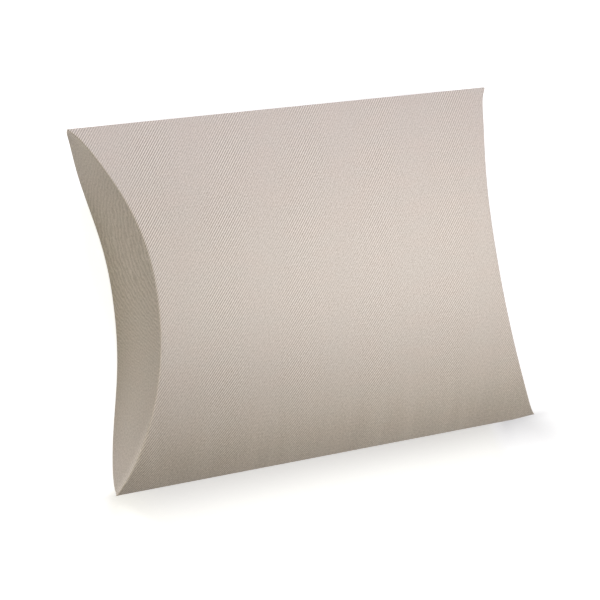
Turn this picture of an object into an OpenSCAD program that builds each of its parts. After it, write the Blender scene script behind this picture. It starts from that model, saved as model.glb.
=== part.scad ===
// Pillow-shaped favor box, folded from one card blank and glued along one long fold.
// It lies on its back panel: X runs along the box, Y across it, and Z up through both panels.
// The origin is the middle of the flat strip that the box rests on.

/* [Box] */
// Length from tip to tip, along X
box_len = 140; // [100:1:200]
// Width from long fold to long fold, along Y
box_w = 102.2; // [80:0.1:150]
// Height of the front panel's crown above the long folds
front_rise = 14.3; // [10:0.1:18]
// Depth of the back panel's crown below the long folds
back_rise = 17.3; // [12:0.1:20]
// Distance that each end is drawn in at its middle
end_inset = 14.3; // [8:0.1:20]
// Width of the flat strip along the middle of the back panel
rest_w = 25; // [10:1:40]

/* [Crown] */
// Power of the front crown and the ends: 2 is a parabola, and more is fuller
front_power = 2.2; // [2:0.1:3]
// Power of the back crown beside its flat strip
back_power = 3.55; // [2:0.05:4]
// Share by which the front crown is fuller towards the plain fold, or below 0 towards the glued one
front_lean_share = -0.05; // [-0.12:0.01:0.12]
// Share by which the ends are drawn in more towards the plain fold, or below 0 towards the glued one
end_lean_share = 0.09; // [-0.12:0.01:0.12]

/* [Card] */
// Thickness of the card
card_t = 0.4; // [0.3:0.05:0.6]
// Gap between a flap and the panel that it folds from
fold_gap = 0.2; // [0.1:0.05:0.4]
// Gap between the outer flap and the inner flap behind it
layer_gap = 0.25; // [0.15:0.05:0.5]

/* [Flaps] */
// Gap between the outer flap's free edge and the line of the back panel
outer_edge_gap = 0.6; // [0.3:0.1:1.5]
// Height of the inner flap at its middle
inner_reach = 15.6; // [8:0.1:16]
// Gap between the inner flap's folded edge and the line that the box rests on
inner_edge_gap = 0.2; // [0.1:0.05:0.5]
// Distance from each long fold to the inner flap's tip
inner_tip_gap = 2.5; // [2:0.1:6]

/* [Glued seam] */
// Distance from the glued fold to the tab
tab_start = 1.6; // [1.4:0.1:4]
// Width of the tab across the back panel
tab_w = 12; // [8:0.5:16]
// Gap between the tab's ends and the inner flaps
tab_end_gap = 1; // [0.5:0.1:5]
// Thickness of the glue between the tab and the back panel
glue_t = 0.1; // [0.05:0.05:0.2]
// Margin of bare tab all round the glue
glue_margin = 2; // [1:0.1:3.5]

/* [Hidden] */

card_colour = [0.81, 0.76, 0.71];
inside_colour = [0.87, 0.84, 0.80];
glue_colour = [0.93, 0.91, 0.84];

// Flat strips that make up each curved panel, edge to edge
strips = 60;
// Step to each side over which a slope is measured, as a share of the half width
probe_share = 0.001;
// Power of the inner flap's free edge, a parabola
free_edge_power = 2;
// Extra length by which a cutting solid passes what it cuts
overrun = 1;

half_len = box_len / 2;
half_w = box_w / 2;
fold_z = back_rise;
box_h = back_rise + front_rise;
rest_share = rest_w / box_w;
// Distances inward from an end's surface to the inner flap and to both panels' ends
inner_start = card_t + layer_gap;
front_start = card_t + fold_gap;
back_start = inner_start + card_t + fold_gap;
// The tab's inner edge, as a share of the half width, and its half length
tab_edge_share = (tab_start + tab_w - half_w) / half_w;
tab_half_len = half_len - inset(tab_edge_share) - inner_start - card_t - tab_end_gap;

// A crown's height at share s of the half width, from -1 to 1, as a share of its rise
function crown_share(s, flat_share, power) =
    1 - pow(max(0, abs(s) - flat_share) / (1 - flat_share), power);
function leaning_crown_share(s, lean_share) = crown_share(s, 0, front_power) * (1 + lean_share * s);
function inset(s) = end_inset * leaning_crown_share(s, end_lean_share);

// The panels' outer surfaces across the box: side is 1 for the front and -1 for the back
function front_z(s) = fold_z + front_rise * leaning_crown_share(s, front_lean_share);
function back_z(s) = fold_z - back_rise * crown_share(s, rest_share, back_power);
function skin_z(side, s) = side > 0 ? front_z(s) : back_z(s);
function skin_slope(side, s) =
    (skin_z(side, s + probe_share) - skin_z(side, s - probe_share)) / (2 * probe_share * half_w);
function inward(side, s) = let (m = skin_slope(side, s)) side * [m, -1] / norm([m, -1]);
function from_fold(side, end) = let (m = skin_slope(side, end)) -end * [1, m] / norm([1, m]);

// A point at a depth under the surface, and the corner where both panels' depths meet at a long fold
function under_skin(side, s, depth) = [s * half_w, skin_z(side, s)] + depth * inward(side, s);
function fold_corner(end, depth) =
    let (u = from_fold(1, end), v = from_fold(-1, end))
    [end * half_w, fold_z] + depth * (u + v) / abs(cross(u, v));

function station_share(i) = 2 * i / strips - 1;
function skin_line(side, depth) = [
    for (i = [0 : strips])
        let (s = station_share(i))
        abs(s) == 1 ? fold_corner(s, depth) : under_skin(side, s, depth)
];
function end_line(depth) = [
    for (i = [0 : strips])
        let (s = station_share(i))
        [inset(s) + depth - half_len, s * half_w]
];

// The inner flap's two edges across the box, and lists of points turned round or over
function inner_fold_point(s) = [s * half_w, back_z(s) + inner_edge_gap];
function inner_free_point(s) = inner_fold_point(s) + [0, inner_reach * crown_share(s, 0, free_edge_power)];
function reversed(points) = [for (i = [len(points) - 1 : -1 : 0]) points[i]];
function mirrored_x(points) = [for (p = points) [-p.x, p.y]];

// A cross-section drawn in Y and Z, run along the box
module along_box() {
    translate([-half_len - overrun, 0, 0])
        rotate([90, 0, 90])
            linear_extrude(height = box_len + 2 * overrun)
                children();
}

// A plan drawn in X and Y, run up through the box
module up_through_box() {
    translate([0, 0, -overrun])
        linear_extrude(height = box_h + 2 * overrun)
            children();
}

// The card between two depths under one panel's surface
module skin(side, depth, deeper) {
    along_box()
        polygon(concat(skin_line(side, depth), reversed(skin_line(side, deeper))));
}

// Everything inside the two panels' outer surfaces
module pillow() {
    along_box()
        polygon(concat(skin_line(1, 0), reversed(skin_line(-1, 0))));
}

// One curved panel, whose ends stand in from the ends' surface by start
module panel(side, start) {
    intersection() {
        skin(side, 0, card_t);
        up_through_box()
            polygon(concat(end_line(start), reversed(mirrored_x(end_line(start)))));
    }
}

// The upright curved sheet that closes the left end, at a depth behind the end's surface
module end_sheet(depth) {
    up_through_box()
        polygon(concat(end_line(depth), reversed(end_line(depth + card_t))));
}

// A block over the glued fold, from start across by width, and half_length to each side of the middle
module seam_block(start, width, half_length) {
    translate([-half_length, start - half_w, -overrun])
        cube([2 * half_length, width, box_h + 2 * overrun]);
}

// The inner flap's outline across the box: its folded edge, and its free edge curved back to both tips
module inner_flap_face() {
    folded_edge = [for (i = [0 : strips]) inner_fold_point(station_share(i))];
    free_edge = [for (i = [1 : strips - 1]) inner_free_point(station_share(i))];
    polygon(concat(folded_edge, reversed(free_edge)));
}

module outer_flap() {
    intersection() {
        end_sheet(0);
        pillow();
        translate([0, 0, outer_edge_gap])
            pillow();
    }
}

module inner_flap() {
    intersection() {
        end_sheet(inner_start);
        along_box()
            inner_flap_face();
        translate([-half_len - overrun, inner_tip_gap - half_w, -overrun])
            cube([half_len, box_w - 2 * inner_tip_gap, box_h + 2 * overrun]);
    }
}

module front_panel() {
    color(card_colour)
        panel(1, front_start);
}

module back_panel() {
    color(card_colour)
        panel(-1, back_start);
}

module glue_tab() {
    color(inside_colour)
        intersection() {
            skin(-1, card_t + glue_t, 2 * card_t + glue_t);
            seam_block(tab_start, tab_w, tab_half_len);
        }
}

module glue_line() {
    color(glue_colour)
        intersection() {
            skin(-1, card_t, card_t + glue_t);
            seam_block(tab_start + glue_margin, tab_w - 2 * glue_margin, tab_half_len - glue_margin);
        }
}

module left_outer_flap() {
    color(card_colour)
        outer_flap();
}

module left_inner_flap() {
    color(card_colour)
        inner_flap();
}

module right_outer_flap() {
    color(card_colour)
        mirror([1, 0, 0])
            outer_flap();
}

module right_inner_flap() {
    color(card_colour)
        mirror([1, 0, 0])
            inner_flap();
}

front_panel();
back_panel();
glue_tab();
glue_line();
left_outer_flap();
left_inner_flap();
right_outer_flap();
right_inner_flap();
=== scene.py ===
# A pillow-shaped favor box of embossed card, lying on its back panel.
# Everything is in metres, in the frame of the CAD model: X runs along the box, Y across it, and Z up.
import math

import bpy
import numpy as np
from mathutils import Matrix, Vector


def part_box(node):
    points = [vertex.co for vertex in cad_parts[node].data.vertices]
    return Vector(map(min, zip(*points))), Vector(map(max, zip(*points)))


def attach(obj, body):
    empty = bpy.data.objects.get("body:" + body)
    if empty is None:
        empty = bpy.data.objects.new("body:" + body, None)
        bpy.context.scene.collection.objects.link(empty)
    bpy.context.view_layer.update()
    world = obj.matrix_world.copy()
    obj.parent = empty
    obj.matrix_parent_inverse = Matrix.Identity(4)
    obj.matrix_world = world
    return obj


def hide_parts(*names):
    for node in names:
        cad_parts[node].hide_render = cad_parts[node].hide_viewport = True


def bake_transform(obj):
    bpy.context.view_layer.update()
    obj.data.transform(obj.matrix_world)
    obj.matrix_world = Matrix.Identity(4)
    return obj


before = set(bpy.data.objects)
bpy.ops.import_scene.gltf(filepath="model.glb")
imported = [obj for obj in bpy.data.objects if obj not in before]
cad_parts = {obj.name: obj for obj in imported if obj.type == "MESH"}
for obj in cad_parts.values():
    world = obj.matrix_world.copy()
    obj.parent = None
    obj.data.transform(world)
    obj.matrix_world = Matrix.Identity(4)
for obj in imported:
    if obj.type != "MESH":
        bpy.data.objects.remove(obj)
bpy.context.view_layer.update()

MM = 0.001

# Box, with the same sizes as the CAD model
HALF_LEN = 70 * MM
HALF_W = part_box("front_panel")[1].y
FOLD_Z = 17.3 * MM
FRONT_RISE = 14.3 * MM
BACK_RISE = FOLD_Z
END_INSET = 14.3 * MM
REST_SHARE = 12.5 * MM / HALF_W
FRONT_POWER = 2.2
BACK_POWER = 3.55
FRONT_LEAN = -0.05
END_LEAN = 0.09

# Card
CARD = 0.4 * MM
FOLD_RADIUS = 0.5 * MM
LONG_RADIUS = 0.85 * MM
LEAST_RADIUS = 0.05 * MM
RADIUS_SHARE = 0.25

# Flaps
LAYER_GAP = 0.25 * MM
FREE_EDGE_GAP = 0.6 * MM
INNER_EDGE_GAP = 0.2 * MM
INNER_REACH = 15.6 * MM
FREE_EDGE_POWER = 2
TIP_HEIGHT = 0.2 * MM

# Blunt tips: how much they lose, by what share more at the plain fold, and how softly that starts
TIP_CUT = 0.6 * MM
TIP_CUT_LEAN = 0.8
TIP_CUT_POWER = 4

# Extra depth of the soft card near its long folds: how much, beside which fold, and how close to it.
# The glued fold is at side -1, and the plain one at side 1.
END_EXTRAS = ((1.05 * MM, 1, 9), (0.38 * MM, -1, 3.5))
FRONT_EXTRAS = ((0.9 * MM, -1, 4),)
BACK_EXTRAS = ((0.6 * MM, -1, 12), (1.3 * MM, 1, 12), (0.85 * MM, -1, 4))

# Bend of the lower right tip along X, Y and Z, how close to the fold, and over what length
TIP_BEND = (0.85 * MM, 0.4 * MM, 0)
TIP_BEND_POWER = 22
TIP_BEND_LENGTH = 8 * MM

# Slight waves in the front card above its lower long fold: two lengths of wave, and where across they fade
WAVE_HEIGHT = 0.045 * MM
WAVE_LENGTH = 9.3 * MM
SECOND_WAVE_RATIO = 1.62
SECOND_WAVE_SHARE = 0.7
SECOND_WAVE_START = 1.3
WAVE_FADE_SHARES = (0.25, 0.75)
WAVE_EDGE_SHARE = 0.12

# How the bands of stronger ribs run over the front, as their place along X for each metre of Y and of depth
BAND_LEAN_ACROSS = -0.17
BAND_LEAN_UP = 0.57

# Mesh steps
ACROSS = 180
ALONG = 140
UP = 48
TURN = 6
FINE_STEPS = 4000


# Shape of the box across its width, at share s of the half width
def crown(s, flat, power):
    return 1 - (np.maximum(0, np.abs(s) - flat) / (1 - flat)) ** power


def extra(s, parts):
    """Small extra depth close to the long folds, where the card springs back."""
    total = 0
    for most, side, power in parts:
        near = np.maximum(0, s * side) ** power
        total = total + 4 * most * near * (1 - near)
    return total


def inset(s):
    """Distance that an end is drawn in. The pressed tips are slightly blunt, more so at the plain fold."""
    drawn_in = END_INSET * crown(s, 0, FRONT_POWER) * (1 + END_LEAN * s) + extra(s, END_EXTRAS)
    lost = TIP_CUT * (1 + TIP_CUT_LEAN * s)
    return (drawn_in ** TIP_CUT_POWER + lost ** TIP_CUT_POWER) ** (1 / TIP_CUT_POWER)


def front_z(s):
    rise = FRONT_RISE * crown(s, 0, FRONT_POWER) * (1 + FRONT_LEAN * s)
    return FOLD_Z + rise + extra(s, FRONT_EXTRAS)


def back_z(s):
    drop = BACK_RISE * crown(s, REST_SHARE, BACK_POWER) + extra(s, BACK_EXTRAS)
    return np.maximum(0, FOLD_Z - drop)


def end_radius(s):
    """Radius of the curved end folds, which shrinks towards the box's tips."""
    return np.clip(RADIUS_SHARE * (front_z(s) - back_z(s)), LEAST_RADIUS, FOLD_RADIUS)


def smooth(a):
    """0 to 1 with a soft start and end, as a goes from 0 to 1."""
    a = np.clip(a, 0, 1)
    return a * a * (3 - 2 * a)


# Cross-section of the card: front from -Y to +Y with both long folds, and back from +Y to -Y
def unit(v):
    return v / np.linalg.norm(v)


def fold_arc(side):
    """Points round one long fold, from the front's line to the back's."""
    near = np.array([HALF_W * side, FOLD_Z])
    step = side * (1 - 1 / ACROSS)
    u = unit(np.array([step * HALF_W, front_z(step)]) - near)
    v = unit(np.array([step * HALF_W, back_z(step)]) - near)
    half = math.acos(float(u @ v)) / 2
    centre = near + unit(u + v) * LONG_RADIUS / math.sin(half)
    first = near + u * LONG_RADIUS / math.tan(half) - centre
    last = near + v * LONG_RADIUS / math.tan(half) - centre
    turn = math.pi - 2 * half
    share = np.linspace(0, 1, TURN + 1)[:, None]
    return centre + (np.sin((1 - share) * turn) * first + np.sin(share * turn) * last) / math.sin(turn)


def section():
    """The whole outer line of the card as (y, z), and the index where the back starts."""
    left = fold_arc(-1)[::-1]
    right = fold_arc(1)
    front_y = np.linspace(left[-1][0], right[0][0], ACROSS + 1)[1:-1]
    back_y = np.linspace(right[-1][0], left[0][0], ACROSS + 1)[1:]
    front = np.column_stack([front_y, front_z(front_y / HALF_W)])
    back = np.column_stack([back_y, back_z(back_y / HALF_W)])
    line = np.vstack([left, front, right, back])
    return line, len(left) + len(front) + len(right) - 1


def lengths(line):
    """Distance along a line of points, from its start."""
    steps = np.linalg.norm(np.diff(line, axis=0), axis=1)
    return np.concatenate([[0], np.cumsum(steps)])


def inward(line):
    """Unit normals of a closed line of (y, z), towards the inside of the box."""
    around = np.vstack([line[-2], line, line[1]])
    along = around[2:] - around[:-2]
    normals = np.column_stack([along[:, 1], -along[:, 0]])
    return normals / np.linalg.norm(normals, axis=1)[:, None]


LINE, BACK_START = section()
LINE_LENGTH = lengths(LINE)
INWARD = inward(LINE)
FRONT_MIDDLE = LINE_LENGTH[BACK_START] / 2


def bend_tip(points):
    """Bend the box's lower right tip outwards. points is a grid of x, y and z."""
    low = np.clip(-points[..., 1] / HALF_W, 0, 1) ** TIP_BEND_POWER
    share = low * smooth((points[..., 0] - HALF_LEN + TIP_BEND_LENGTH) / TIP_BEND_LENGTH)
    return points + share[..., None] * np.array(TIP_BEND)


# Meshes
def read(items, name, kind, width=1):
    """One property of every item of a mesh, as an array."""
    values = np.zeros(len(items) * width, dtype=kind)
    items.foreach_get(name, values)
    return values.reshape(-1, width) if width > 1 else values


def sheet(name, outer, inner, maps, materials):
    """A closed sheet of card between two grids of points, with a material each for its outer face, inner
    face and cut edge. maps holds the values that the materials read at each point, by UV map name."""
    rows, columns = outer.shape[:2]
    count = rows * columns
    grid = np.arange(count).reshape(rows, columns)
    quads = np.stack([grid[:-1, :-1], grid[1:, :-1], grid[1:, 1:], grid[:-1, 1:]], axis=-1).reshape(-1, 4)
    rim = np.concatenate([grid[0, :-1], grid[:-1, -1], grid[-1, :0:-1], grid[:0:-1, 0]])
    after = np.roll(rim, -1)
    edge = np.stack([rim, after, after + count, rim + count], axis=-1)
    faces = np.vstack([quads, quads[:, ::-1] + count, edge])
    kinds = np.repeat([0, 1, 2], [len(quads), len(quads), len(edge)])
    mesh = bpy.data.meshes.new(name)
    points = np.vstack([bend_tip(outer).reshape(-1, 3), bend_tip(inner).reshape(-1, 3)])
    mesh.from_pydata(points.tolist(), [], faces.tolist())
    mesh.polygons.foreach_set("material_index", kinds.astype(np.int32))
    mesh.polygons.foreach_set("use_smooth", np.ones(len(faces), dtype=bool))
    for material in materials:
        mesh.materials.append(material)
    corners = read(mesh.loops, "vertex_index", np.int32)
    for map_name, values in maps.items():
        flat = values.reshape(-1, 2)
        both = np.vstack([flat, flat])
        mesh.uv_layers.new(name=map_name).data.foreach_set("uv", both[corners].ravel())
    ends = np.sort(read(mesh.edges, "vertices", np.int32, 2), axis=1)
    pairs = np.column_stack([rim, after])
    rims = np.sort(np.vstack([pairs, pairs + count]), axis=1)
    step = 2 * count
    sharp = np.isin(ends[:, 0] * step + ends[:, 1], rims[:, 0] * step + rims[:, 1])
    mesh.attributes.new("sharp_edge", "BOOLEAN", "EDGE").data.foreach_set("value", sharp)
    mesh.validate()
    obj = bpy.data.objects.new(name, mesh)
    bpy.context.scene.collection.objects.link(obj)
    return obj


def waves(x, s):
    """Height of the slight waves in the front card, strongest just above its lower long fold."""
    start, full = WAVE_FADE_SHARES
    fade = smooth((-s - start) / (full - start)) * np.clip((1 + s) / WAVE_EDGE_SHARE, 0, 1)
    turn = 2 * math.pi * x / WAVE_LENGTH
    second = SECOND_WAVE_SHARE * np.sin(turn / SECOND_WAVE_RATIO + SECOND_WAVE_START)
    return WAVE_HEIGHT * fade * (np.sin(turn) + second)


def panel(name, first, last, rise, start, materials):
    """A curved panel of the sleeve over part of the section, with a rounded fold at each end.
    rise is 1 for the front and -1 for the back; start is how far behind the end's surface the folds lie."""
    line = LINE[first:last + 1]
    towards = INWARD[first:last + 1]
    length = LINE_LENGTH[first:last + 1]
    s = np.clip(line[:, 0] / HALF_W, -1, 1)
    radius = end_radius(s)[:, None]
    inner_radius = np.maximum(radius - CARD, LEAST_RADIUS)
    fold_x = (HALF_LEN - inset(s) - start)[:, None]
    angles = np.linspace(0, math.pi / 2, TURN + 1)[None, :]
    straight = np.linspace(-1, 1, ALONG + 1)[None, 1:-1]
    end_x = fold_x - radius
    arc_x = end_x + radius * np.sin(angles)
    arc_drop = radius * (1 - np.cos(angles))
    inner_x = fold_x - CARD - inner_radius + inner_radius * np.sin(angles)
    inner_drop = inner_radius * (1 - np.cos(angles))
    flat_x = straight * end_x
    x = np.hstack([-arc_x[:, ::-1], flat_x, arc_x])
    drop = np.hstack([arc_drop[:, ::-1], 0 * flat_x, arc_drop])
    x_in = np.hstack([-inner_x[:, ::-1], flat_x, inner_x])
    drop_in = np.hstack([inner_drop[:, ::-1], 0 * flat_x, inner_drop])
    lift = waves(x, s[:, None]) * np.where(drop > 0, 0, 1) if rise > 0 else 0 * x
    y = line[:, :1] - towards[:, :1] * lift
    z = line[:, 1:] - towards[:, 1:] * lift - rise * drop
    y_in = line[:, :1] + towards[:, :1] * (CARD - lift)
    z_in = line[:, 1:] + towards[:, 1:] * (CARD - lift) - rise * drop_in
    along = np.hstack([-end_x - radius * angles[:, ::-1], flat_x, end_x + radius * angles])
    outer = np.stack([x, y + 0 * x, z + 0 * x], axis=-1)
    inner = np.stack([x_in, y_in + 0 * x, z_in + 0 * x], axis=-1)
    depth = rise * (line[:, 1:] - FOLD_Z) - FRONT_RISE
    band = x + BAND_LEAN_ACROSS * line[:, :1] + BAND_LEAN_UP * depth
    from_end = end_x + radius * angles[:, -1:] - np.abs(along)
    from_side = (length - length[0])[:, None]
    from_fold = np.minimum(from_end, np.minimum(from_side, from_side[-1] - from_side))
    maps = {
        "unrolled": np.stack([along, (length - FRONT_MIDDLE)[:, None] + 0 * along], axis=-1),
        "marks": np.stack([band, from_fold], axis=-1),
    }
    return sheet(name, outer, inner, maps, materials)


def widest(height):
    """Largest share of the half width at which a height across the box is still TIP_HEIGHT."""
    shares = np.linspace(0, 1, FINE_STEPS + 1)
    return shares[np.nonzero(np.minimum(height(shares), height(-shares)) > TIP_HEIGHT)[0][-1]]


def across(s, back):
    """Place of a station on the unrolled card, across the blank, on the front or on the back."""
    y = np.ravel(s) * HALF_W
    if back:
        place = np.interp(-y, -LINE[BACK_START:, 0], LINE_LENGTH[BACK_START:])
    else:
        place = np.interp(y, LINE[:BACK_START, 0], LINE_LENGTH[:BACK_START])
    return place.reshape(np.shape(s)) - FRONT_MIDDLE


def end_flap(name, end, depth, low, high, back, materials):
    """An upright curved flap between two heights across the box, at one end (-1 or 1) and at a depth behind
    the end's surface. It folds from the back panel if back is true, and otherwise from the front."""
    edge = widest(lambda s: high(s) - low(s))
    s = np.linspace(-edge, edge, ACROSS + 1)[:, None]
    share = np.linspace(0, 1, UP + 1)[None, :]
    z = high(s) + (low(s) - high(s)) * share
    x = end * (HALF_LEN - inset(s) - depth) + 0 * z
    y = s * HALF_W + 0 * z
    outer = np.stack([x, y, z], axis=-1)
    inner = np.stack([x - end * CARD, y, z], axis=-1)
    from_fold = z - low(s) if back else high(s) - z
    fold = HALF_LEN - inset(s) - depth - end_radius(s) * (1 - math.pi / 2)
    maps = {
        "unrolled": np.stack([end * (fold + from_fold), across(s, back) + 0 * z], axis=-1),
        "marks": np.stack([y, from_fold], axis=-1),
    }
    return sheet(name, outer, inner, maps, materials)


def outer_flap(name, end, materials):
    def high(s):
        return front_z(s) - end_radius(s)

    def low(s):
        return back_z(s) + FREE_EDGE_GAP

    return end_flap(name, end, 0, low, high, False, materials)


def inner_flap(name, end, materials):
    def low(s):
        return back_z(s) + end_radius(s)

    def high(s):
        return back_z(s) + INNER_EDGE_GAP + INNER_REACH * crown(s, 0, FREE_EDGE_POWER)

    return end_flap(name, end, CARD + LAYER_GAP, low, high, True, materials)


# Materials
class Nodes:
    """A material's nodes, made by short calls that take numbers, colours or other nodes' outputs."""

    def __init__(self, name):
        self.material = bpy.data.materials.new(name)
        self.material.use_nodes = True
        self.tree = self.material.node_tree
        self.tree.nodes.clear()

    def feed(self, sockets, values):
        for socket, value in zip(sockets, values):
            if isinstance(value, bpy.types.NodeSocket):
                self.tree.links.new(value, socket)
            else:
                socket.default_value = value

    def add(self, kind, settings=None, **inputs):
        node = self.tree.nodes.new("ShaderNode" + kind)
        for key, value in (settings or {}).items():
            setattr(node, key, value)
        names = [key.replace("_", " ") for key in inputs]
        sockets = [next(s for s in node.inputs if s.enabled and s.name == name) for name in names]
        self.feed(sockets, inputs.values())
        return node

    def math(self, operation, *values):
        node = self.add("Math", {"operation": operation})
        self.feed(node.inputs, values)
        return node.outputs[0]

    def total(self, first, *others):
        for other in others:
            first = self.math("ADD", first, other)
        return first

    def mix(self, factor, a, b, kind="MIX"):
        node = self.add("Mix", {"data_type": "RGBA", "blend_type": kind})
        self.feed((node.inputs[0], node.inputs[6], node.inputs[7]), (factor, a, b))
        return node.outputs[2]

    def span(self, kind, value, low, high, at_low, at_high):
        ends = {"From_Min": low, "From_Max": high, "To_Min": at_low, "To_Max": at_high}
        return self.add("MapRange", {"interpolation_type": kind}, Value=value, **ends).outputs[0]

    def ramp(self, value, low, high, at_low=0.0, at_high=1.0):
        """Soft change from at_low to at_high as the value goes from low to high."""
        return self.span("SMOOTHSTEP", value, low, high, at_low, at_high)

    def line(self, value, low, high, at_low, at_high):
        """Even change from at_low to at_high as the value goes from low to high."""
        return self.span("LINEAR", value, low, high, at_low, at_high)

    def noise(self, place, scale, detail=2.0, roughness=0.5, flat=True):
        settings = {"noise_dimensions": "2D" if flat else "3D"}
        values = {"Vector": place, "Scale": scale, "Detail": detail, "Roughness": roughness}
        return self.add("TexNoise", settings, **values).outputs[0]

    def bump(self, height, depth, strength):
        return self.add("Bump", Strength=strength, Distance=depth, Height=height).outputs["Normal"]

    def place(self):
        """A point's place on its own object, in metres."""
        return self.add("TexCoord").outputs["Object"]

    def uv(self, name):
        """A UV map's place, and its two values in metres."""
        place = self.add("UVMap", {"uv_map": name}).outputs["UV"]
        parts = self.add("SeparateXYZ", Vector=place)
        return place, parts.outputs["X"], parts.outputs["Y"]

    def shade(self, specular, **inputs):
        """A principled shader for the whole surface, and the finished material."""
        shader = self.add("BsdfPrincipled", **inputs)
        shader.inputs["Specular IOR Level"].default_value = specular
        return self.finish(shader.outputs["BSDF"])

    def finish(self, surface):
        output = self.add("OutputMaterial")
        self.tree.links.new(surface, output.inputs["Surface"])
        return self.material


def tinted(colour, share, balance=(1, 1, 1)):
    """A colour made lighter by a share, or darker by a share below 0, more in the heavier channels."""
    return tuple(c * (1 + share * weight) for c, weight in zip(colour, balance)) + (1,)


# Outer face of the card: colour, gloss, grain and mottling
WHITE = (1, 1, 1, 1)
CARD_COLOUR = (0.545, 0.480, 0.440)
CARD_GLOSS = 0.41
CARD_ROUGHNESS = 0.50
ROUGHNESS_SWING = 0.12
GRAIN_SCALE = 2600.0
GRAIN_SHARE = 0.7
MOTTLE_SCALE = 70.0
MOTTLE_STRETCH = (1, 2.2, 1)
MOTTLE_RANGE = (0.3, 0.7)
PINK = (1.006, 0.9985, 0.994, 1)
GREEN = (0.994, 1.0015, 1.0, 1)
# A painted warm tint of the shade on the lower part of the panels
PAINTED_LOW_TINT = (1.0, 1.0, 0.955, 1)

# Embossed ribs: distance apart, slant, relief, and how much lighter and darker they are, which is painted
# light and shade of the relief
RIB_PITCH = 0.6235 * MM
RIB_ANGLE = math.radians(48.8)
RIB_BUMP = (0.012 * MM, 1.0)
RIB_SWING = 0.48
RIB_BALANCE = (0.94, 1.0, 1.08)
RIB_WANDER = 0.6
RIB_WANDER_SCALE = 260.0
FLAP_SHARE = 0.18

# Upright bands and level rows of stronger ribs on the panels, at even steps, and how far they stand out.
# Each pair of shares is for the left and for the right.
BAND_PITCH = 24.84 * MM
BAND_AT = -10.6 * MM
BAND_FIRST = -62 * MM
BAND_LAST = 50 * MM
STRONG_SHARES = (0.83, 0.58)
PLAIN_SHARES = (0.30, 0.12)
ROW_PITCH = 21.8 * MM
ROW_AT = -6.4 * MM
ROW_LEAN = 0.119
ROW_SWING = 0.14
LOW_START = -24 * MM
LOW_END = -50 * MM
LOW_SHARE = 0.74

# Fine flecks everywhere, and painted shading of soft ripples above the lower long fold
FLECK_SCALE = 1700.0
FLECK_SWING = 0.54
LOW_FLECKS = 1.35
FLAP_FLECKS = 1.4
PAINTED_RIPPLE_SWING = 0.16
RIPPLE_SCALE = (240, 30, 1)
RIPPLE_LEAST_SHARE = 0.15

# Painted light on the middle and painted shade on the lower part of the panels, and a painted highlight
# line along their lower folds. Marks on a fold change from its lower to its upper half between minus and
# plus HALFWAY along Y.
PAINTED_MIDDLE_LIGHT = 0.01
MIDDLE_START = -5 * MM
MIDDLE_END = -18 * MM
PAINTED_LOW_SHADE = -0.065
LOW_DARK_START = -34 * MM
LOW_DARK_END = -57 * MM
CREASE_AT = 0.39 * MM
CREASE_REACH = 0.36 * MM
PAINTED_CREASE_HIGHLIGHT = 0.34
HALFWAY = 12 * MM

# End flaps: streaks in patches, a painted highlight and shade line along the fold, creases beside the tips
# with painted highlights, and painted shade on the middle
STREAK_SWING = 0.14
STREAK_WANDER = 1.6
STREAK_WANDER_SCALE = 330.0
STREAK_ACROSS = 560
STREAK_DOWN = -420
STREAK_BEND = -20300
STREAK_REACH = 36 * MM
PATCH_SCALE = 520.0
PATCH_LEVELS = (2.2, -0.1)
PAINTED_CREASE_SHADE = -0.12
PAINTED_FLAP_CREASE_HIGHLIGHT = 0.05
LOWER_TIP = (-27 * MM, -41 * MM)
UPPER_TIP = (42 * MM, 49 * MM)
TIP_REACH = 5 * MM
TIP_PITCH = 1.15 * MM
TIP_LEVELS = (0.55, 0.6)
PAINTED_TIP_HIGHLIGHT = 0.38
PAINTED_FLAP_SHADE = -0.1
FLAP_DARK_DOWN = (16 * MM, 1 * MM)
FLAP_DARK_ACROSS = (43 * MM, 33 * MM)

# Inner face, cut edge and glue: colours, scales, relief with its strength, gloss and roughness
PAPER_GLOSS = 0.2
INSIDE_COLOUR = (0.74, 0.70, 0.63, 1)
INSIDE_DARK = (0.66, 0.61, 0.54, 1)
INSIDE_RANGE = (0.3, 0.7)
INSIDE_BUMP = (0.05 * MM, 0.25)
INSIDE_ROUGHNESS = 0.85
FIBRE_SCALE = 900.0
CLOUD_SCALE = 90.0
CORE_COLOUR = (0.78, 0.74, 0.68, 1)
EDGE_LIGHT = 0.1
EDGE_BUMP = (0.05 * MM, 0.3)
EDGE_ROUGHNESS = 0.9
LAYER_SCALE = 2500.0
GLUE_COLOUR = (0.86, 0.83, 0.74, 1)
GLUE_GLOSS = 0.5
GLUE_BUMP = (0.1 * MM, 0.4)
GLUE_ROUGHNESS = 0.35
LUMP_SCALE = 400.0


def rib_wave(n, place, u, v):
    """The fine slanting ribs, from -1 in a groove to 1 on a rib."""
    run = n.math("MULTIPLY_ADD", v, -math.cos(RIB_ANGLE), n.math("MULTIPLY", u, math.sin(RIB_ANGLE)))
    wander = n.math("MULTIPLY", n.noise(place, RIB_WANDER_SCALE, detail=1.0), RIB_WANDER)
    return n.math("SINE", n.math("MULTIPLY_ADD", run, 2 * math.pi / RIB_PITCH, wander))


def even_wave(n, place, at, pitch):
    """A wave along one direction, 1 at the place named at and -1 half a pitch away."""
    return n.math("COSINE", n.math("MULTIPLY", n.math("SUBTRACT", place, at), 2 * math.pi / pitch))


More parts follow.
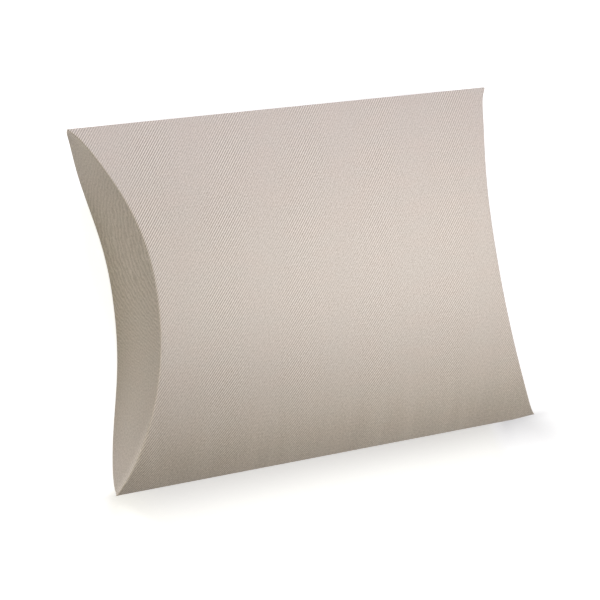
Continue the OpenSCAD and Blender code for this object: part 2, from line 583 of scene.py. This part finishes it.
def band_depth(n, band, u, v):
    """How strongly the ribs show on a panel: in bands and fainter rows, and less to the right and below."""
    strong = n.math("MULTIPLY_ADD", even_wave(n, band, BAND_AT, BAND_PITCH), 0.5, 0.5)
    most, least = (n.line(band, BAND_FIRST, BAND_LAST, *shares) for shares in (STRONG_SHARES, PLAIN_SHARES))
    depth = n.math("MULTIPLY_ADD", strong, n.math("SUBTRACT", most, least), least)
    row = even_wave(n, n.math("MULTIPLY_ADD", u, ROW_LEAN, v), ROW_AT, ROW_PITCH)
    uneven = n.math("MULTIPLY", depth, n.math("MULTIPLY_ADD", row, ROW_SWING, 1.0))
    return n.math("MULTIPLY", uneven, n.ramp(v, LOW_END, LOW_START, LOW_SHARE, 1.0))


def streaks(n, place, y, down):
    """Broad faint streaks down an end flap, strongest near its middle, from -1 to 1."""
    bend = n.math("MULTIPLY_ADD", y, STREAK_BEND, STREAK_ACROSS)
    wander = n.math("MULTIPLY", n.noise(place, STREAK_WANDER_SCALE), STREAK_WANDER)
    cycles = n.math("MULTIPLY_ADD", down, STREAK_DOWN, n.math("MULTIPLY_ADD", bend, y, wander))
    aside = n.math("DIVIDE", n.math("SUBTRACT", y, HALFWAY), STREAK_REACH)
    fade = n.math("MAXIMUM", n.math("SUBTRACT", 1.0, n.math("MULTIPLY", aside, aside)), 0.0)
    return n.math("MULTIPLY", n.math("SINE", n.math("MULTIPLY", cycles, 2 * math.pi)), fade)


def flecks(n, place, strength):
    """Share by which fine flecks make the card lighter or darker."""
    uneven = n.math("SUBTRACT", n.noise(place, FLECK_SCALE, detail=3.0, roughness=0.6), 0.5)
    return n.math("MULTIPLY", n.math("MULTIPLY", uneven, FLECK_SWING), strength)


def flap_share(n, place, wave, y, down):
    """Share by which an end flap is lighter or darker. It has broad streaks, fine ribs with painted light
    and shade, a painted line along its fold, painted light below and painted shade above, creases beside
    its tips with painted highlights, and painted shade in the middle."""
    patches = n.math("MULTIPLY_ADD", n.noise(place, PATCH_SCALE), *PATCH_LEVELS)
    broad = n.math("MULTIPLY", n.math("MULTIPLY", streaks(n, place, y, down), patches), STREAK_SWING)
    fine = n.math("MULTIPLY", wave, RIB_SWING * FLAP_SHARE)
    # A painted line along the fold: highlight on its lower half and shade on its upper half
    painted_fold_tone = n.ramp(y, -HALFWAY, HALFWAY, PAINTED_FLAP_CREASE_HIGHLIGHT, PAINTED_CREASE_SHADE)
    line = n.math("MULTIPLY", n.ramp(down, CREASE_REACH, 0.0), painted_fold_tone)
    # Painted highlights on the creases beside the tips, which are partly real creases and partly painted
    # light
    tips = n.math("ADD", n.ramp(y, *LOWER_TIP), n.ramp(y, *UPPER_TIP))
    near_tip = n.math("MULTIPLY", tips, n.ramp(down, TIP_REACH, 0.0))
    creases = n.math("SINE", n.math("MULTIPLY", down, 2 * math.pi / TIP_PITCH))
    light = n.math("MULTIPLY", n.math("MULTIPLY_ADD", creases, *TIP_LEVELS), near_tip)
    # Painted shade on the middle of the flap, close to its fold
    middle = n.ramp(n.math("ABSOLUTE", y), *FLAP_DARK_ACROSS)
    shaded = n.math("MULTIPLY", middle, n.ramp(down, *FLAP_DARK_DOWN))
    parts = (fine, line, n.math("MULTIPLY", light, PAINTED_TIP_HIGHLIGHT), n.math("MULTIPLY", shaded, PAINTED_FLAP_SHADE))
    return n.total(broad, *parts, flecks(n, place, FLAP_FLECKS))


def panel_share(n, place, wave, band, from_fold, u, v):
    """Share by which a panel is lighter or darker. It has ribs in bands with painted light and shade,
    painted shading of soft ripples above its lower long fold, painted light on its middle, painted shade on
    its lower part, and a painted highlight line along the lower half of its folds."""
    ribs = n.math("MULTIPLY", n.math("MULTIPLY", wave, band_depth(n, band, u, v)), RIB_SWING)
    # Painted shading of soft ripples above the lower long fold
    tall = n.add("Mapping", Vector=place, Scale=RIPPLE_SCALE).outputs["Vector"]
    uneven = n.math("SUBTRACT", n.noise(tall, 1.0, detail=1.0), 0.5)
    fade = n.ramp(v, LOW_START, LOW_END, RIPPLE_LEAST_SHARE, 1.0)
    painted_ripple_shade = n.math("MULTIPLY", n.math("MULTIPLY", uneven, PAINTED_RIPPLE_SWING), fade)
    # Painted light on the middle and painted shade on the lower part
    light = n.ramp(v, MIDDLE_START, MIDDLE_END, 0.0, PAINTED_MIDDLE_LIGHT)
    dark = n.ramp(v, LOW_DARK_START, LOW_DARK_END, 0.0, PAINTED_LOW_SHADE)
    # A painted highlight line along the lower half of the folds
    aside = n.math("ABSOLUTE", n.math("SUBTRACT", from_fold, CREASE_AT))
    painted_fold_tone = n.ramp(v, HALFWAY, -HALFWAY, 0.0, PAINTED_CREASE_HIGHLIGHT)
    painted_crease_line = n.math("MULTIPLY", n.ramp(aside, CREASE_REACH, 0.0), painted_fold_tone)
    strength = n.ramp(v, LOW_START, LOW_END, 1.0, LOW_FLECKS)
    return n.total(ribs, painted_ripple_shade, painted_crease_line, light, dark, flecks(n, place, strength))


def card_outside(name, is_flap):
    """Embossed outer face: fine slanting ribs on slightly mottled card with a soft silk sheen."""
    n = Nodes(name)
    place, u, v = n.uv("unrolled")
    marks = n.uv("marks")
    wave = rib_wave(n, place, u, v)
    if is_flap:
        share = flap_share(n, place, wave, marks[1], marks[2])
    else:
        share = panel_share(n, place, wave, marks[1], marks[2], u, v)
    # The colour goes between darker and lighter copies of the card's colour; these carry the painted light
    # and shade of the ribs, folds and lower part, along with the card's flecks and streaks
    level = n.math("MULTIPLY_ADD", share, 0.5 / RIB_SWING, 0.5)
    darkest, lightest = (tinted(CARD_COLOUR, swing, RIB_BALANCE) for swing in (-RIB_SWING, RIB_SWING))
    stretched = n.add("Mapping", Vector=place, Rotation=(0, 0, -RIB_ANGLE), Scale=MOTTLE_STRETCH)
    mottle = n.ramp(n.noise(stretched.outputs["Vector"], MOTTLE_SCALE), *MOTTLE_RANGE)
    colour = n.mix(1.0, n.mix(level, darkest, lightest), n.mix(mottle, GREEN, PINK), "MULTIPLY")
    if not is_flap:
        # Painted warm tint of the shade towards the lower long fold
        painted_shade_tint = n.mix(n.ramp(v, MIDDLE_END, LOW_DARK_END), WHITE, PAINTED_LOW_TINT)
        colour = n.mix(1.0, colour, painted_shade_tint, "MULTIPLY")
    grain = n.noise(place, GRAIN_SCALE)
    crisp = n.ramp(marks[2], 0.0, FOLD_RADIUS)
    relief = n.math("MULTIPLY_ADD", grain, GRAIN_SHARE, n.math("MULTIPLY", wave, crisp))
    rough = n.math("MULTIPLY_ADD", grain, ROUGHNESS_SWING, CARD_ROUGHNESS - ROUGHNESS_SWING / 2)
    return n.shade(CARD_GLOSS, Base_Color=colour, Roughness=rough, Normal=n.bump(relief, *RIB_BUMP))


def card_inside():
    """Plain, paler inner face with short fibres."""
    n = Nodes("card_inside")
    place = n.place()
    fibres = n.noise(place, FIBRE_SCALE, detail=5.0, roughness=0.7, flat=False)
    clouds = n.noise(place, CLOUD_SCALE, flat=False)
    blend = n.math("MULTIPLY_ADD", fibres, 0.5, n.math("MULTIPLY", clouds, 0.5))
    colour = n.mix(n.ramp(blend, *INSIDE_RANGE), INSIDE_DARK, INSIDE_COLOUR)
    bump = n.bump(fibres, *INSIDE_BUMP)
    return n.shade(PAPER_GLOSS, Base_Color=colour, Roughness=INSIDE_ROUGHNESS, Normal=bump)


def card_edge():
    """Cut edge of the card, with its layers showing as fine streaks."""
    n = Nodes("card_edge")
    layers = n.noise(n.place(), LAYER_SCALE, detail=3.0, flat=False)
    colour = n.mix(layers, tinted(CARD_COLOUR, EDGE_LIGHT), CORE_COLOUR)
    bump = n.bump(layers, *EDGE_BUMP)
    return n.shade(PAPER_GLOSS, Base_Color=colour, Roughness=EDGE_ROUGHNESS, Normal=bump)


def glue():
    """Dried glue, a little uneven and glossy."""
    n = Nodes("dried_glue")
    lumps = n.noise(n.place(), LUMP_SCALE, detail=3.0, flat=False)
    colour = n.mix(lumps, GLUE_COLOUR, INSIDE_COLOUR)
    bump = n.bump(lumps, *GLUE_BUMP)
    return n.shade(GLUE_GLOSS, Base_Color=colour, Roughness=GLUE_ROUGHNESS, Normal=bump)


# Pieces
INSIDE = card_inside()
EDGE = card_edge()
PANEL_FACES = (card_outside("card_outside", False), INSIDE, EDGE)
FLAP_FACES = (card_outside("flap_outside", True), INSIDE, EDGE)


def stand_for(obj, node):
    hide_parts(node)
    return obj


def paint(obj, material):
    if not obj.material_slots:
        obj.data.materials.append(None)
    for slot in obj.material_slots:
        slot.material = material


def make_sleeve():
    front = panel("front_card", 0, BACK_START, 1, 0, PANEL_FACES)
    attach(stand_for(front, "front_panel"), "sleeve")
    back = panel("back_card", BACK_START, len(LINE) - 1, -1, CARD + LAYER_GAP, PANEL_FACES)
    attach(stand_for(back, "back_panel"), "sleeve")
    paint(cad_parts["glue_tab"], INSIDE)
    paint(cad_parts["glue_line"], glue())


def turn_outer(obj):
    """Bake the outer flap's transform into its mesh."""
    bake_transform(obj)


def turn_inner(obj):
    """The same for the inner flap, whose fold is in the back panel."""
    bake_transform(obj)


def make_flaps():
    for side, end in (("left", -1), ("right", 1)):
        outer = stand_for(outer_flap(side + "_outer_card", end, FLAP_FACES), side + "_outer_flap")
        turn_outer(outer)
        inner = stand_for(inner_flap(side + "_inner_card", end, FLAP_FACES), side + "_inner_flap")
        turn_inner(inner)


# Floor: its size, how light its shadow is, and its glow, a painted level of light which falls from left to
# right
FLOOR_HALF = 1500 * MM
FLOOR_GAP = 0.1 * MM
FLOOR_SEEN = (0.80, 0.80, 0.80, 1)
FLOOR_BOUNCE = (0.78, 0.77, 0.75, 1)
FLOOR_GLOWS = (0.515, 0.45)
FLOOR_SPAN = 45 * MM

# Painted light where the floor is whiter over its real shadow: from where this starts to where it is full,
# and by how much
BESIDE = (-42 * MM, -58 * MM)
BESIDE_LOW = (-53 * MM, -50 * MM)
BESIDE_GLOW = 0.27
CORNER = (-60 * MM, -66 * MM)
CORNER_GLOW = 0.10
AWAY = (-55 * MM, -69 * MM)
AWAY_GLOW = 0.12
BEHIND = (44 * MM, 52 * MM)
BEHIND_GLOW = 0.06
FAR = (120 * MM, 170 * MM)
FAR_GLOW = 0.6

# Painted soft shadow off the lower right tip, and how the marks below the box slant outwards
PAINTED_SHADOW_DEPTH = -0.40
SHADE_FADE = 7 * MM
SHADE_TOP = (-50.5 * MM, -53 * MM)
SHADE_LEFT = (64 * MM, 72 * MM)
SHADE_RIGHT = (92 * MM, 76 * MM)
THROW_FROM = -54 * MM
THROW_SLOPE = 1.2


def seen_directly(tree):
    """1 for rays from the camera, a reflection or a clear material, and 0 for light that bounces."""
    path = tree.nodes.new("ShaderNodeLightPath")
    total = path.outputs["Is Camera Ray"]
    for name in ("Is Glossy Ray", "Is Transmission Ray"):
        either = tree.nodes.new("ShaderNodeMath")
        either.operation = "MAXIMUM"
        tree.links.new(total, either.inputs[0])
        tree.links.new(path.outputs[name], either.inputs[1])
        total = either.outputs[0]
    return total


def choose(tree, factor, a, b):
    """Shader a where the factor is 0, and b where it is 1."""
    choice = tree.nodes.new("ShaderNodeMixShader")
    for socket, value in zip(choice.inputs, (factor, a, b)):
        tree.links.new(value, socket)
    return choice.outputs[0]


def painted_tip_shadow(n, thrown, x, y):
    """A painted soft shadow off the box's lower right tip, which fades away from the box."""
    fade = n.math("EXPONENT", n.math("DIVIDE", n.math("SUBTRACT", y, SHADE_TOP[1]), SHADE_FADE))
    shade = n.math("MULTIPLY", n.math("MINIMUM", fade, 1.0), n.ramp(y, *SHADE_TOP))
    for value, edges in ((x, SHADE_LEFT), (thrown, SHADE_RIGHT)):
        shade = n.math("MULTIPLY", shade, n.ramp(value, *edges))
    return n.math("MULTIPLY", shade, PAINTED_SHADOW_DEPTH)


def floor_glow(n, x, y):
    """The floor's glow: painted light that makes it whiter beside the left end, below and behind the box,
    and far from it, and a painted shadow off the lower right tip.
    """
    below = n.math("MINIMUM", n.math("SUBTRACT", y, THROW_FROM), 0.0)
    thrown = n.math("MULTIPLY_ADD", below, THROW_SLOPE, x)
    level = n.line(x, -FLOOR_SPAN, FLOOR_SPAN, *FLOOR_GLOWS)
    beside = n.math("MULTIPLY", n.ramp(x, *BESIDE, 0.0, BESIDE_GLOW), n.ramp(y, *BESIDE_LOW))
    corner = n.ramp(thrown, *CORNER, 0.0, CORNER_GLOW)
    away = n.ramp(y, *AWAY, 0.0, AWAY_GLOW)
    behind = n.ramp(y, *BEHIND, 0.0, BEHIND_GLOW)
    distance = n.math("SQRT", n.math("ADD", n.math("MULTIPLY", x, x), n.math("MULTIPLY", y, y)))
    far = n.ramp(distance, *FAR, 0.0, FAR_GLOW)
    return n.total(level, beside, corner, away, behind, far, painted_tip_shadow(n, thrown, x, y))


def make_floor():
    n = Nodes("floor")
    bounce = n.add("BsdfDiffuse", Color=FLOOR_BOUNCE).outputs[0]
    shadowed = n.add("BsdfDiffuse", Color=FLOOR_SEEN).outputs[0]
    parts = n.add("SeparateXYZ", Vector=n.place()).outputs
    glow = n.add("Emission", Color=WHITE, Strength=floor_glow(n, parts["X"], parts["Y"])).outputs[0]
    both = n.add("AddShader")
    n.feed(both.inputs, (shadowed, glow))
    surface = choose(n.tree, seen_directly(n.tree), bounce, both.outputs[0])
    signs = ((-1, -1), (1, -1), (1, 1), (-1, 1))
    corners = [(x * FLOOR_HALF, y * FLOOR_HALF, -FLOOR_GAP) for x, y in signs]
    mesh = bpy.data.meshes.new("floor")
    mesh.from_pydata(corners, [], [(0, 1, 2, 3)])
    mesh.materials.append(n.finish(surface))
    floor = bpy.data.objects.new("floor", mesh)
    bpy.context.scene.collection.objects.link(floor)


# Light from all round, and each lamp's place, size across, power in watts and colour
FILL_COLOUR = (1.0, 0.88, 0.76, 1)
FILL_LEVEL = 0.165
KEY_AT = (-30 * MM, 857 * MM, 515 * MM)
KEY_SIZE = 300 * MM
KEY_WATTS = 4.38
KEY_COLOUR = (0.768, 0.79, 1.0)
SOFTBOX_AT = (55 * MM, 0, 200 * MM)
SOFTBOX_SIZE = 150 * MM
SOFTBOX_WATTS = 0.255
SOFTBOX_COLOUR = (0.98, 0.995, 0.96)
SIDE_AT = (-525 * MM, 303 * MM, 350 * MM)
SIDE_SIZE = 400 * MM
SIDE_WATTS = 1.14
SIDE_COLOUR = (1.0, 0.98, 0.65)


def make_world():
    world = bpy.data.worlds.new("studio")
    bpy.context.scene.world = world
    world.use_nodes = True
    tree = world.node_tree
    tree.nodes.clear()
    shades = []
    for colour, level in ((FILL_COLOUR, FILL_LEVEL), (WHITE, 1)):
        shade = tree.nodes.new("ShaderNodeBackground")
        shade.inputs["Color"].default_value = colour
        shade.inputs["Strength"].default_value = level
        shades.append(shade.outputs[0])
    output = tree.nodes.new("ShaderNodeOutputWorld")
    tree.links.new(choose(tree, seen_directly(tree), *shades), output.inputs["Surface"])


def make_lamp(name, at, size, watts, colour):
    """A round soft lamp that faces the box."""
    lamp = bpy.data.lights.new(name, "AREA")
    lamp.shape = "DISK"
    lamp.size = size
    lamp.energy = watts
    lamp.color = colour
    obj = bpy.data.objects.new(name, lamp)
    obj.location = at
    aim = Vector((0, 0, FOLD_Z)) - obj.location
    obj.rotation_euler = aim.to_track_quat("-Z", "Y").to_euler()
    obj.visible_camera = False
    bpy.context.scene.collection.objects.link(obj)


def make_lamps():
    make_lamp("key", KEY_AT, KEY_SIZE, KEY_WATTS, KEY_COLOUR)
    make_lamp("softbox", SOFTBOX_AT, SOFTBOX_SIZE, SOFTBOX_WATTS, SOFTBOX_COLOUR)
    make_lamp("fill", SIDE_AT, SIDE_SIZE, SIDE_WATTS, SIDE_COLOUR)


# Camera, fitted to the photograph: place, turn in degrees, lens and sensor in millimetres, and clipping
CAMERA_AT = (-0.28715, 0.00672, 0.54775)
CAMERA_TURN = (3.1258, -27.8977, -9.0492)
CAMERA_LENS = 124.476
CAMERA_SENSOR = 36
CLIP_START = 10 * MM
CLIP_END = 10000 * MM


def make_camera():
    data = bpy.data.cameras.new("camera")
    data.sensor_fit = "HORIZONTAL"
    data.sensor_width = CAMERA_SENSOR
    data.lens = CAMERA_LENS
    data.clip_start = CLIP_START
    data.clip_end = CLIP_END
    camera = bpy.data.objects.new("camera", data)
    camera.location = CAMERA_AT
    camera.rotation_euler = [math.radians(angle) for angle in CAMERA_TURN]
    bpy.context.scene.collection.objects.link(camera)
    bpy.context.scene.camera = camera


make_camera()
make_sleeve()
make_flaps()
make_floor()
make_world()
make_lamps()
bpy.context.scene.view_settings.view_transform = "Standard"
